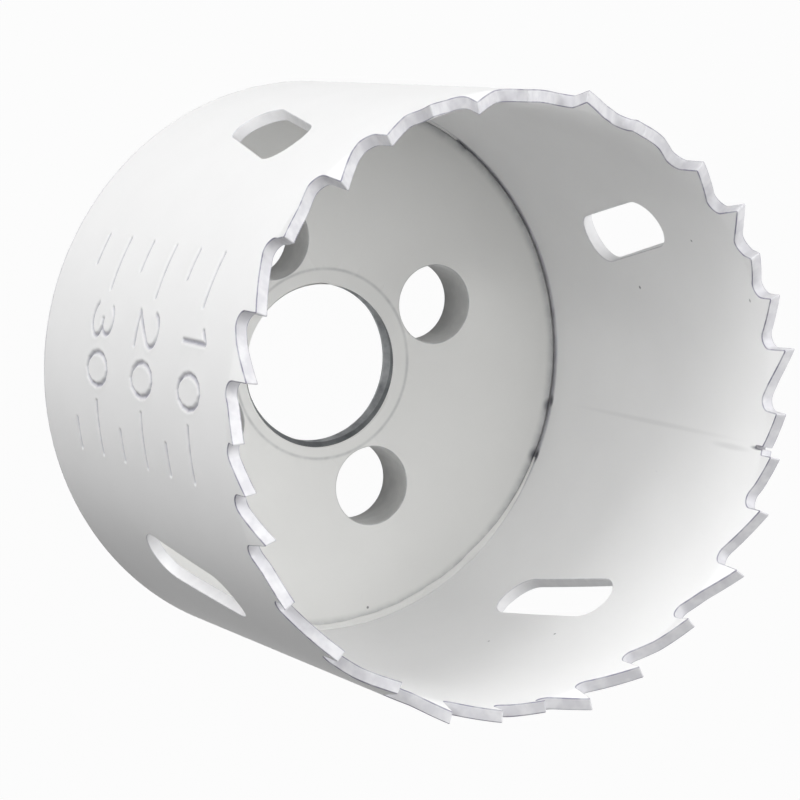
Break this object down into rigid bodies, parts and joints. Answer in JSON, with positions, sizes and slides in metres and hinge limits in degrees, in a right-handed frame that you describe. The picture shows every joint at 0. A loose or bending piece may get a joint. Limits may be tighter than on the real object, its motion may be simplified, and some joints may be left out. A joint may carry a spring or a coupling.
{
  "type": "hole saw",
  "caption": "Enamelled steel hole saw: a toothed cup with slots in its wall and a thick back plate with a threaded arbor bore and drive pin holes.",
  "frame": {"origin": "centre of the back plate's outer face, on the axis of the arbor bore", "axes": "+Z along the saw's own axis towards the teeth; the band's butt weld is at -135 degrees from +X"},
  "size_m": [0.053, 0.0539, 0.044],
  "materials": {
    "band_enamel": "gloss baked enamel",
    "plate_enamel": "satin baked enamel",
    "weld_enamel": "satin baked enamel"
  },
  "bodies": {
    "root": {"saw_band": "band_enamel", "backing_plate": "plate_enamel", "weld_bead": "weld_enamel"}
  },
  "joints": []
}
